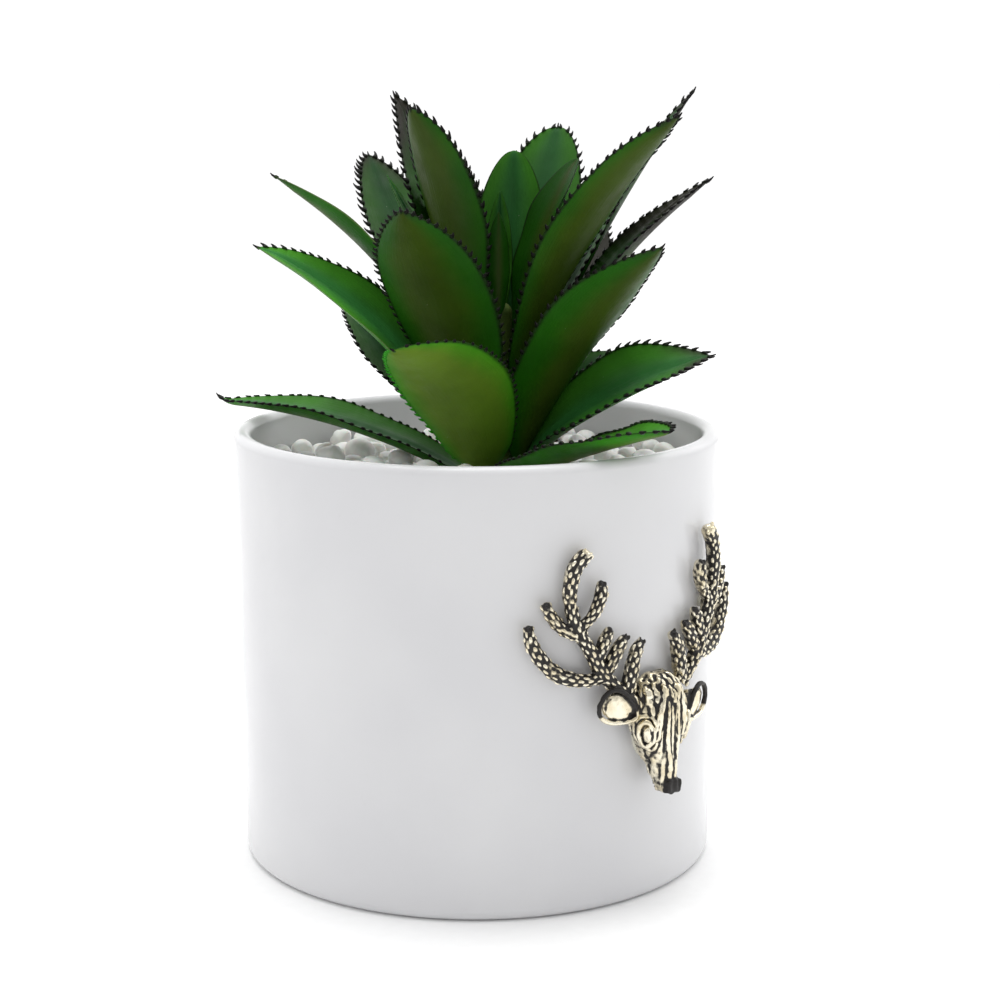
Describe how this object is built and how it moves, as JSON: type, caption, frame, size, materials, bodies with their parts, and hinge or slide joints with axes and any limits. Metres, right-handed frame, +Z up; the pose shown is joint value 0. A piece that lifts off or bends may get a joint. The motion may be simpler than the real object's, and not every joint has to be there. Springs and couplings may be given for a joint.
{
  "type": "artificial succulent in pot",
  "caption": "Artificial serrated-leaf succulent standing in a plain round glazed pot with a cast stag-head ornament on its wall.",
  "frame": {"origin": "centre of the pot's flat underside, where it rests", "axes": "+Z up along the pot's axis; -Y is the front, where the ornament faces; +X is to the right seen from the front"},
  "size_m": [0.1148, 0.1217, 0.1765],
  "materials": {
    "white_glaze": "gloss",
    "white_foam": "matte",
    "clear_glue": "gloss",
    "white_stone": "satin",
    "antique_brass": "satin",
    "stem_plastic": "satin",
    "steel_wire": "satin",
    "leaf_plastic": "satin"
  },
  "bodies": {
    "planter": {"pot": "white_glaze", "foam_glue": "clear_glue", "foam_plug": "white_foam", "pebbles": "white_stone", "deer_ornament": "antique_brass", "ornament_adhesive": "clear_glue"},
    "plant": {"stem_core": "stem_plastic", "stem_wire": "steel_wire", "leaf_back_centre": "leaf_plastic", "leaf_back_left": "leaf_plastic", "leaf_back_low": "leaf_plastic", "leaf_back_right": "leaf_plastic", "leaf_back_tall": "leaf_plastic", "leaf_front_low": "leaf_plastic", "leaf_front_mid": "leaf_plastic", "leaf_heart_back": "leaf_plastic", "leaf_heart_right": "leaf_plastic", "leaf_heart_small_a": "leaf_plastic", "leaf_heart_small_b": "leaf_plastic", "leaf_left_behind": "leaf_plastic", "leaf_left_dark": "leaf_plastic", "leaf_left_high": "leaf_plastic", "leaf_left_low": "leaf_plastic", "leaf_left_mid": "leaf_plastic", "leaf_left_slim": "leaf_plastic", "leaf_right_back": "leaf_plastic", "leaf_right_back_low": "leaf_plastic", "leaf_right_curl": "leaf_plastic", "leaf_right_high": "leaf_plastic", "leaf_right_high_back": "leaf_plastic", "leaf_right_low": "leaf_plastic", "leaf_right_mid": "leaf_plastic", "leaf_upper_left_back": "leaf_plastic", "leaf_upper_left_front": "leaf_plastic"}
  },
  "joints": [
    {"name": "plant_lift", "type": "slide", "parent": "planter", "child": "plant", "axis": [0, 0, 1], "range_m": [0, 0.06]}
  ]
}
